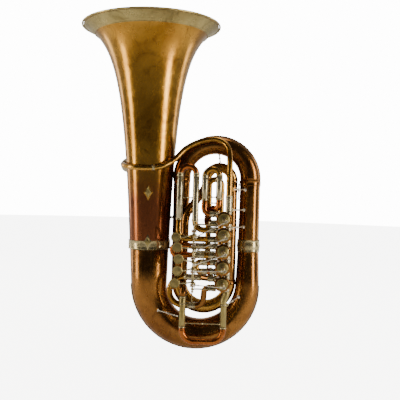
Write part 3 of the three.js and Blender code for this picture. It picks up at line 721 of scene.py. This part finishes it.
def build_guards():
    part = Route(BOTTOM.stops[1:-1], BOTTOM.headings[1:-1])
    low = mix(*BOW_RADII, BOTTOM.along[1] / BOTTOM.total)
    high = mix(*BOW_RADII, BOTTOM.along[-2] / BOTTOM.total)
    strip = tube(part, taper(low + 1.5, high + 1.5), 1.1, 12, guard_start(part), GUARD_SWEEP)
    fix_normals(add("bottom_guard_strip", strip, OLD_NICKEL, replaces="bottom_guard"))
    strip = tube(TOP, taper(34, 28.5), 1.1, 12, guard_start(TOP), GUARD_SWEEP)
    fix_normals(add("top_guard_strip", strip, OLD_NICKEL, replaces="top_guard"))


def guard_start(route):
    """The angle where a strip starts, so that its middle faces away from the middle of the tuba."""
    side = frames(route)[0]
    across = route.headings[0].cross(side)
    outward = route.headings[0].cross(BACK)
    if outward.x * route.stops[0].x < 0:
        outward = -outward
    return math.degrees(math.atan2(outward.dot(across), outward.dot(side))) - GUARD_SWEEP / 2


def build_limb_ferrules():
    outline = [(34.4, -19), (35.8, -19), (37.0, -18), (35.9, -16.6), (35.5, -15), (36.4, -6), (37.3, 0),
               (36.4, 6), (35.3, 15), (35.7, 16.6), (36.8, 18), (35.6, 19), (34.4, 19)]
    fix_normals(add("limb_ferrule_ring", turned(outline, (BOW_REACH, 0, LIMB_Z + 6), UP, 72, True),
                    NICKEL, replaces="limb_ferrule"))
    right = collar((BOW_REACH, 0, TOP_BOW_Z - 10), UP, 32.8, 16, 1.4, 72)
    fix_normals(add("top_ferrule_right_ring", right, RED_BRASS, replaces="top_ferrule_right"))
    small = [
        ("top_ferrule_left", INNER_X, TOP_BOW_Z, 27.0, 14),
        ("inner_ferrule_left", INNER_X, INNER_BOW_Z, 24.5, 14),
        ("inner_ferrule_right", RISER_X, INNER_BOW_Z, 18, 14),
        ("riser_ferrule_top", RISER_X, INNER_TOP_Z, 16.5, 12),
        ("return_ferrule", RETURN_X, INNER_TOP_Z, 14.5, 12),
    ]
    for name, x, z, radius, height in small:
        fix_normals(add(name, collar((x, 0, z), UP, radius, height, 0.8, 56), RED_BRASS))


# ---- leadpipe and mouthpiece
def build_leadpipe():
    route = free_curve([
        (MOUTH_X, 34, MOUTH_Z), (-253, 6, 586), (-244, -42, 580), (-214, -75, 575), (-165, -89, 573),
        (-121, -78, 580), (-88, -61, 600), (-50, -44, 640), (-3, -39, 664), (42, -40, 671), (68, -47, 662),
        (83, -61, 640), (87, -78, 605), (87.1, -91, 560), (87.1, VALVE_Y, 510),
        (87.1, VALVE_Y, TOP_VALVE_Z + VALVE_PITCH / 2 + 0.3),
    ], 120)
    radius = taper(7.6, 9.6)
    add("leadpipe_tube", tube(route, radius, SHEET, 28), BRASS, replaces="leadpipe", sharp=50)
    sleeve = route.cut(route.total - 42, route.total)
    add("leadpipe_sleeve", tube(sleeve, 10.4, THIN_SHEET, 32), SLEEVE)
    parts = []
    for distance in (14, 190, route.total - 44):
        point, heading = route.at(distance)
        parts.append(collar(point, heading, radius(distance / route.total), 8, 1.0, 32))
    fix_normals(add("leadpipe_rings", merged(parts), NICKEL))


def build_mouthpiece():
    origin = (MOUTH_X, 0, MOUTH_Z)
    receiver = [(7.9, 34.3), (9.0, 34.3), (9.8, 35), (9.3, 37), (9.3, 58), (9.9, 59), (10.2, 60),
                (9.9, 61), (9.4, 62), (9.5, 76), (10.2, 78), (11.2, 80), (11.4, 82), (10.8, 83.2),
                (8.2, 83.2), (7.9, 60)]
    fix_normals(add("receiver_tube", turned(receiver, origin, BACK, 48, True), NICKEL, replaces="receiver"))
    shank = [(5.8, 50), (6.6, 70), (7.3, 86), (7.2, 92), (7.0, 96), (7.6, 100)]
    bowl = [(9.5, 103.5), (12.5, 106.5), (16, 111), (19, 116), (21, 122), (22.4, 129), (23.2, 134)]
    rim = [(24.4, 138), (24.6, 140), (24.0, 142.2), (22.4, 143.4), (20.2, 143.6), (18.2, 142.6)]
    inside = [(16.8, 140.2), (16.3, 136), (15.6, 129), (13.8, 122), (11, 116.5), (7.4, 112),
              (4.8, 109.5), (4.2, 107)]
    bore = [(4.0, 100), (4.3, 80), (4.7, 50)]
    cup = turned([*shank, *bowl, *rim, *inside, *bore], origin, BACK, 64, True)
    fix_normals(add("mouthpiece_cup", cup, SLEEVE, "mouthpiece", "mouthpiece"))


# ---- valves
def casing_shape(k):
    at = Vector((VALVE_X, VALVE_Y, valve_z(k)))
    barrel = [(21, 21.6), (22.4, 22), (23, 21.4), (23, 17), (22.3, 16.6), (22.3, 15.6), (23, 15.2),
              (23, -15.2), (22.3, -15.6), (22.3, -16.6), (23.2, -17), (23.2, -20.8), (22.6, -21.6),
              (21.4, -22)]
    return turned([(r, -y) for r, y in barrel], at, -BACK, 64)


def stub_shape(k):
    """The tube stubs at the casing's left, and the ways from one valve to the next at its right."""
    parts = []
    for side in (-1, 1):
        z = valve_z(k) + side * PORT
        stub = straight((VALVE_X - 17, VALVE_Y, z), (STUB_X + 0.3, VALVE_Y, z))
        parts.append(tube(stub, TUBE, SHEET, 32))
        parts.append(collar((STUB_X + 3.4, VALVE_Y, z), (1, 0, 0), TUBE, 6, 0.5, 32))
        x = VALVE_X + PORT
        low, high = valve_z(k) + side * 14, valve_z(k) + side * (VALVE_PITCH / 2 - 0.15)
        way = straight((x, VALVE_Y, min(low, high)), (x, VALVE_Y, max(low, high)))
        parts.append(tube(way, TUBE, SHEET, 32))
    return merged(parts)


def cap_shape(k):
    """The stepped front cap with its bearing boss."""
    at = Vector((VALVE_X, CAP_Y, valve_z(k)))
    outline = [(17.2, -0.4), (17.7, 0.4), (17.5, 1.2), (16.6, 1.7), (15.6, 1.5), (14.9, 1.2), (14.2, 1.5),
               (13.2, 2.0), (9.0, 2.2), (8.3, 1.5), (7.6, 1.6), (7.2, 3.2), (6.2, 3.8), (4.2, 3.9)]
    return turned(outline, at, -BACK, 64)


def stop_shape(k):
    """The stop arm, its hub, pin and screws, which turn with the rotor."""
    z = valve_z(k)
    pin_x, pin_z = VALVE_X + STOP, z - STOP
    front = -BACK
    hub = [(6.3, 0), (7.4, 0.6), (7.6, 2.6), (7.0, 4.6), (5.2, 5.4), (3.2, 5.6)]
    boss = [(3.8, -3), (4.3, -2.4), (4.3, 1.6), (3.6, 2.4), (2.0, 2.6)]
    arm = straight((VALVE_X, ARM_Y, z), (pin_x, ARM_Y, pin_z), 5)
    return merged([
        turned(hub, (VALVE_X, VALVE_Y - 32.2, z), front, 40),
        bar(arm, taper(4.4, 3.6), 20),
        turned(boss, (pin_x, ARM_Y, pin_z), front, 28),
        screw((VALVE_X, VALVE_Y - 38.6, z), front, 3.1),
        bar(straight((pin_x, VALVE_Y - 38, pin_z), (pin_x, LINK_Y - 3.0, pin_z), 3), 1.5, 16),
        screw((pin_x, LINK_Y - 3.2, pin_z), front, 2.3),
    ])


def level(*places):
    """Corners in the valves' own plane, from (x, height above the valve) pairs."""
    return [(x, VALVE_Y, z) for x, z in places]


# Each valve's two fixed tubes, their bends, the nickel at the valve's end, and the brace between them.
TUBING = (
    {"upper": level((STUB_X, PORT), (FIRST_LOOP_X[0], PORT), (FIRST_LOOP_X[0], 130)),
     "lower": [*level((FIRST_LOOP_X[1], 130), (FIRST_LOOP_X[1], 31)), (28, -72, 31), (20, -75, -PORT),
               *level((37, -PORT), (STUB_X, -PORT))],
     "bends": (18, [13, 13, 10, 8]), "near": (18, 72), "brace": ((21.6, 66), (47.4, 66))},
    {"upper": level((STUB_X, PORT), (SECOND_LOOP_X[0], PORT), (SECOND_LOOP_X[0], 182.5)),
     "lower": level((STUB_X, -PORT), (SECOND_LOOP_X[1], -PORT), (SECOND_LOOP_X[1], 182.5)),
     "bends": (26, 26), "near": (20, 20), "brace": ((-55.4, 112), (-24.1, 112))},
    {"upper": level((STUB_X, PORT), (-12, PORT)),
     "lower": level((STUB_X, -PORT), (-12, -PORT)),
     "bends": (1, 1), "near": (18, 18), "brace": ((20, 4.9), (20, -4.9))},
    {"upper": level((STUB_X, PORT), (12, PORT)),
     "lower": level((STUB_X, -PORT), (12, -PORT)),
     "bends": (1, 1), "near": (12, 12), "brace": ((28, 4.9), (28, -4.9))},
    {"upper": [*level((STUB_X, PORT), (36, PORT)), (12, FIFTH_Y, PORT), (-38, FIFTH_Y, PORT)],
     "lower": [(-38, FIFTH_Y, -73.9), (16, FIFTH_Y, -73.9), *level((20, -PORT), (STUB_X, -PORT))],
     "bends": (14, [24, 16]), "near": (14, 30), "brace": ((-18, 5), (-18, -64.8))},
)

# Length of nickel at the far end of each fixed tube.
UPPER_SLEEVES = (74, 143.5, 28, 14, 45)
LOWER_SLEEVES = (16, 139, 28, 14, 16)


def hairpin(open_end, bow, near, far, upright=True):
    """A slide's corners, in the valves' plane, from one open end round its bow to the other."""
    if upright:
        return level((near, open_end), (near, bow), (far, bow), (far, open_end))
    return level((open_end, near), (bow, near), (bow, far), (open_end, far))


# Each slide's corners, bend, length of leg to the bow's start, and the bow's metal.
SLIDES = (
    (hairpin(80, 152, *FIRST_LOOP_X), 22, 50, BRASS),
    (hairpin(60, 208.5, *SECOND_LOOP_X), 24.75, 122.5, COPPER),
    (hairpin(30, -81.5, PORT, -PORT, False), PORT, 42, COPPER),
    (hairpin(38, -8, PORT, -PORT, False), PORT, 26, BRASS),
    ([(0, FIFTH_Y, PORT), (-88, FIFTH_Y, PORT), (-88, FIFTH_Y, -73.9), (-16, FIFTH_Y, -73.9)],
     44, (38, 22), BRASS),
)


def raised(points, z):
    return [(x, y, dz + z) for x, y, dz in points]


def two_tone(name, route, first, last, material, node=None):
    """Nickel at both ends of a tube and a crook of another metal between. The nickel stands for the node."""
    nickel = merged([tube(piece_route, TUBE, SHEET, 30)
                     for piece_route in (route.cut(0, first), route.cut(last, route.total))])
    add(f"{name}_sleeves", nickel, SLEEVE, replaces=node or (), sharp=50)
    add(f"{name}_crook", tube(route.cut(first - 1, last + 1), CROOK, SHEET, 30), material, sharp=50)
    rings = []
    for distance, wide in ((first - 2.4, 4.8), (last + 2.4, 4.8), (route.total - 2.2, 4.4)):
        point, heading = route.at(distance)
        rings.append(turned([(TUBE - 0.2, -wide / 2), (TUBE + 0.5, -wide / 2), (TUBE + 0.8, 0),
                             (TUBE + 0.5, wide / 2), (TUBE - 0.2, wide / 2)], point, heading, 32, True))
    fix_normals(add(f"{name}_rings", merged(rings), NICKEL))


def build_valves():
    crooks = [COPPER, BRASS, BRASS, COPPER, RED_BRASS]
    for k in range(5):
        label = f"valve_{k + 1}"
        z = valve_z(k)
        fix_normals(add(f"{label}_barrel", casing_shape(k), RED_BRASS, replaces=f"{label}_casing"))
        add(f"{label}_stubs", stub_shape(k), SLEEVE, sharp=50)
        fix_normals(add(f"{label}_cap", cap_shape(k), OLD_NICKEL))
        fix_normals(add(f"{label}_stop_arm", stop_shape(k), NICKEL, f"rotor_{k + 1}"))
        row = TUBING[k]
        upper = rounded(raised(row["upper"], z), row["bends"][0])
        lower = rounded(raised(row["lower"], z), row["bends"][1])
        upper_near, lower_near = row["near"]
        upper_end, lower_end = upper.total - UPPER_SLEEVES[k], lower.total - LOWER_SLEEVES[k]
        two_tone(f"{label}_upper", upper, upper_near, upper_end, crooks[k], f"{label}_tubing")
        two_tone(f"{label}_lower", lower, lower_near, lower_end, crooks[k])
        (x0, z0), (x1, z1) = row["brace"]
        y = FIFTH_Y if k == 4 else VALVE_Y
        add(f"{label}_brace", strut((x0, y, z + z0), (x1, y, z + z1), WIRE), NICKEL)
        build_slide(k)


def build_back_loop():
    """The fourth valve's long loop, which joins its two fixed tubes from behind."""
    z = valve_z(3)
    y = BACK_LOOP_Y
    radius, top = 8.8, 545
    route = rounded([
        (30, VALVE_Y + 9.6, z + PORT), (30, y, z + PORT), (27, y, z + 40), (27, y, top), (66, y, top),
        (66, y, z - 44), (38, y, z - 44), (38, y, z - PORT), (38, VALVE_Y + 9.6, z - PORT),
    ], [11, 10, 19.5, 19.5, 15, 12, 11])
    add("valve_4_loop", tube(route, radius, SHEET, 30), BRASS, sharp=50)
    rings = []
    for share in (0.27, 0.43, 0.50, 0.68):
        point, heading = route.at(route.total * share)
        rings.append(collar(point, heading, radius, 6, 0.7, 32))
    fix_normals(add("valve_4_loop_rings", merged(rings), NICKEL))
    add("valve_4_loop_brace", strut((36.4, y, 470), (56.6, y, 470), WIRE), NICKEL)


def build_slide(k):
    corners, bend, covered, material = SLIDES[k]
    route = rounded(raised(corners, valve_z(k)), bend)
    first, last = covered if isinstance(covered, tuple) else (covered, covered)
    body = f"valve_{k + 1}_slide"
    legs = merged([tube(route.cut(0, first + 2), SLIDE, THIN_SHEET, 28),
                   tube(route.cut(route.total - last - 2, route.total), SLIDE, THIN_SHEET, 28)])
    add(f"{body}_legs", legs, SLEEVE, body, body, sharp=50)
    bow = tube(route.cut(first, route.total - last), CROOK + 0.1, SHEET, 30)
    add(f"{body}_bow", bow, material, body, sharp=50)
    proud = 0.1 if k in (2, 3) else 0.5
    rings = []
    for distance in (first + 3.2, route.total - last - 3.2):
        point, heading = route.at(distance)
        rings.append(collar(point, heading, CROOK, 5.5, proud, 32))
    fix_normals(add(f"{body}_rings", merged(rings), NICKEL, body))


# ---- main tuning slide
def build_main_slide():
    top = valve_z(4) - VALVE_PITCH / 2 - 0.3
    right = rounded(level((VALVE_X + PORT, top), (VALVE_X + PORT, 190), (MAIN_RIGHT_X, 172),
                          (MAIN_RIGHT_X, 86)), 20)
    left = straight((MAIN_LEFT_X, VALVE_Y, 183.5), (MAIN_LEFT_X, VALVE_Y, 86), 4)
    parts = [tube(right, TUBE, SHEET, 36), tube(left, TUBE, SHEET, 36)]
    add("main_sleeve_tubes", merged(parts), OLD_NICKEL, replaces="main_slide_sleeves", sharp=50)
    rings = [collar((x, VALVE_Y, z), UP, TUBE, 6, 0.6, 36)
             for x in (MAIN_LEFT_X, MAIN_RIGHT_X) for z in (89.2, 160)]
    rings.append(collar((MAIN_LEFT_X, VALVE_Y, 180), UP, TUBE, 6, 0.6, 36))
    fix_normals(add("main_sleeve_rings", merged(rings), NICKEL))
    brace = strut((MAIN_LEFT_X + 9, VALVE_Y, 100), (MAIN_RIGHT_X - 9, VALVE_Y, 100), WIRE)
    add("main_sleeve_brace", brace, NICKEL)
    route = rounded(hairpin(160, 45, MAIN_LEFT_X, MAIN_RIGHT_X), 36, 6)
    leg, bare = 78, 74.4
    legs = merged([tube(half, SLIDE, THIN_SHEET, 32)
                   for half in (route.cut(0, leg), route.cut(route.total - leg, route.total))])
    add("main_slide_legs", legs, SLEEVE, "main_slide", "main_slide", sharp=50)
    crook = tube(route.cut(bare, route.total - bare), CROOK + 0.2, SHEET, 36)
    add("main_slide_crook", crook, COPPER, "main_slide", sharp=50)
    rings = [collar((x, VALVE_Y, 81.5), UP, CROOK, 6, 0.6, 36) for x in (MAIN_LEFT_X, MAIN_RIGHT_X)]
    fix_normals(add("main_slide_rings", merged(rings), COPPER, "main_slide"))


# ---- levers, links and springs
def build_levers():
    for k in range(5):
        z = hub_z(k)
        body = f"lever_{k + 1}"
        hub = [(3.7, -5), (4.9, -5), (5.6, -4.3), (5.3, -3.2), (5.0, -2.4),
               (5.0, 2.4), (5.3, 3.2), (5.6, 4.3), (4.9, 5), (3.7, 5)]
        centre, crank_end = Vector((HINGE_X, HINGE_Y, z)), Vector((CRANK_X, LINK_Y, z))
        parts = [turned(hub, centre, UP, 32, True)]
        root = centre + (crank_end - centre).normalized() * 4.6
        parts.append(bar(straight(root, crank_end, 6), taper(2.9, 1.9), 16))
        knuckle = [(2.4, -2.4), (3.4, -1.9), (3.6, 0), (3.4, 1.9), (2.4, 2.6), (1.2, 2.8)]
        parts.append(turned(knuckle, crank_end, UP, 24))
        parts.append(bar(straight(crank_end, crank_end - UP * 13, 3), 1.5, 16))
        parts.append(screw(crank_end + UP * 3.0, UP, 2.2))
        palm = Vector((PADDLE_X[k], PADDLE_Y, PADDLE_Z[k]))
        middle = (z + palm.z) / 2
        arm = free_curve([(HINGE_X - 2.5, HINGE_Y - 3.6, z), (-26, -124, mix(z, middle, 0.5)),
                          (-36, -132.5, middle), (-46, -135, mix(middle, palm.z, 0.6)),
                          (palm.x + 3, palm.y + 1.6, palm.z)], 24)
        parts.append(bar(arm, taper(2.9, 2.0), 16))
        fix_normals(add(f"{body}_arm", merged(parts), NICKEL, body, body))
        disc = [(13.2, -1.4), (14.6, -1.1), (15.0, -0.2), (14.8, 0.8), (13.9, 1.3), (12.8, 1.0), (11.5, 0.9),
                (8, 1.25), (4, 1.5), (0.6, 1.6)]
        fix_normals(add(f"{body}_touch", turned(disc, palm, -BACK, 48), OLD_NICKEL, body))


def build_links():
    for k in range(5):
        near = Vector((VALVE_X + STOP, LINK_Y, valve_z(k) - STOP))
        far = Vector((CRANK_X, LINK_Y, hub_z(k) - 5.2))
        run = (far - near).normalized()
        start, end = near + run * 4.2, far - run * 5.0
        parts = [bar(straight(start, end, 10), lambda share: 1.35 + 0.5 * abs(2 * share - 1) ** 4, 16)]
        eye = [(2.1, -2), (4.0, -2), (4.5, -1.2), (4.5, 1.2), (4.0, 2), (2.1, 2)]
        parts.append(turned(eye, near, BACK, 28, True))
        far_eye = [(3.4, -2.2), (4.8, -2.2), (5.3, -1.3), (5.3, 1.3), (4.8, 2.2), (3.4, 2.2)]
        parts.append(turned(far_eye, far, UP, 32, True))
        nut = [(1.4, -1.6), (3.0, -1.6), (3.0, 1.6), (1.4, 1.6)]
        parts.append(turned(nut, start + run * 6, run, 6, True))
        parts.append(turned(nut, end - run * 6, run, 6, True))
        name = f"link_{k + 1}"
        fix_normals(add(f"{name}_rod", merged(parts), STEEL, name, name))


def build_drums():
    for k in range(5):
        z = drum_z(k)
        outline = [(3.6, -4.4), (7.6, -4.4), (8.5, -3.9), (8.8, -3.2), (8.5, -2.4), (7.0, -2.2), (7.0, 2.2),
                   (8.5, 2.4), (8.8, 3.2), (8.5, 3.9), (7.6, 4.4), (3.6, 4.4)]
        drum = f"spring_drum_{k + 1}"
        parts = [turned(outline, (HINGE_X, HINGE_Y, z), UP, 40, True)]
        parts.append(screw((HINGE_X + 3, HINGE_Y - 7.8, z), -BACK, 1.6))
        fix_normals(add(f"{drum}_case", merged(parts), STEEL, replaces=drum))
        ring = []
        for n in range(10):
            angle = math.tau * n / 10
            ring.append((7.25 + 0.62 * math.cos(angle), 0.62 * math.sin(angle)))
        coils = [turned(ring, (HINGE_X, HINGE_Y, z + (turn - 1) * 1.35), UP, 40, True) for turn in range(3)]
        fix_normals(add(f"{drum}_coil", merged(coils), RED_BRASS))


def build_hinge():
    parts = [bar(straight((HINGE_X, HINGE_Y, 203), (HINGE_X, HINGE_Y, 411), 3), 3.0, 20)]
    ball = [(2.2, -1.5), (3.8, -0.6), (4.4, 1.0), (4.0, 2.6), (2.6, 3.8), (0.8, 4.3)]
    for z, outward in ((412.5, UP), (201.5, -UP)):
        parts.append(turned(ball, (HINGE_X, HINGE_Y, z), outward, 28))
    for z, end in ((405, 54.5), (323.5, 49.5), (208, 54.5)):
        arm = free_curve([(HINGE_X, HINGE_Y + 3, z), (HINGE_X + 8, HINGE_Y + 6.4, z),
                          (HINGE_X + 30, HINGE_Y + 6.4, z), (end, HINGE_Y + 6.8, z)], 16)
        parts.append(bar(arm, 2.4, 16))
        parts.append(collar((HINGE_X, HINGE_Y, z), UP, 3.0, 5.2, 1.4, 28))
    fix_normals(add("hinge_frame", merged(parts), NICKEL, replaces="hinge_rod"))


# ---- braces
def strut(start, end, radius):
    """A turned brace: a thin bar with a bead in the middle and a flared foot at each end."""
    start, end = Vector(start), Vector(end)
    length = (end - start).length
    run = (end - start).normalized()
    outline = []
    for n in range(33):
        share = n / 32
        near = min(share, 1 - share) * length
        foot = 1.9 * math.exp(-near / 1.6)
        bead = 0.9 * math.exp(-((share - 0.5) * length / 1.8) ** 2)
        outline.append((radius * (0.85 + foot + bead), share * length))
    return turned(outline, start, run, 24)


def build_braces():
    real = {"brace_upper": ((97, -92, 515), (139.5, -28, 515), 2.4),
            "brace_lower_right": ((90.5, -91, 160), (128.5, -37.5, 176), 2.2),
            "brace_lower_left": ((-56, -93, 120), (-122.5, -55.5, 130), 2.2)}
    for name, (start, end, radius) in real.items():
        fix_normals(add(f"{name}_bar", strut(start, end, radius), STEEL, replaces=name))
    extra = {"brace_middle": ((98, -90, 397), (137.6, -27, 397), 2.2),
             "brace_center": ((98, -90, 451), (137.6, -27.6, 451), 2.2),
             "brace_top_bow": ((59.5, 0, 600), (56, 0, 627), 2.4),
             "brace_inner": ((83, 0, 300), (-36, 0, 300), 2.2),
             "brace_bell_branch": ((-98.5, 0, 420), (-87, 0, 420), 2.6)}
    for name, (start, end, radius) in extra.items():
        fix_normals(add(f"{name}_bar", strut(start, end, radius), STEEL))
    holder = strut((118, -61, 484), (118, -61, 533), 1.6)
    clamp = turned([(2.6, -4), (4.6, -3.4), (5.0, 0), (4.6, 3.4), (2.6, 4)], (118, -60.5, 515), UP, 28)
    fix_normals(add("music_holder", merged([holder, clamp]), STEEL))


def dress_rotors():
    """The rotors stay as the CAD made them, inside their casings."""
    for k in range(5):
        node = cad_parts[f"valve_{k + 1}_rotor"]
        node.data.materials.clear()
        node.data.materials.append(BRASS)


build_camera()
build_floor()
build_world()
build_softboxes()
build_bell()
build_garland()
build_bell_trim()
build_branches()
build_guards()
build_limb_ferrules()
build_leadpipe()
build_mouthpiece()
build_valves()
build_back_loop()
build_main_slide()
build_levers()
build_links()
build_drums()
build_hinge()
build_braces()
dress_rotors()
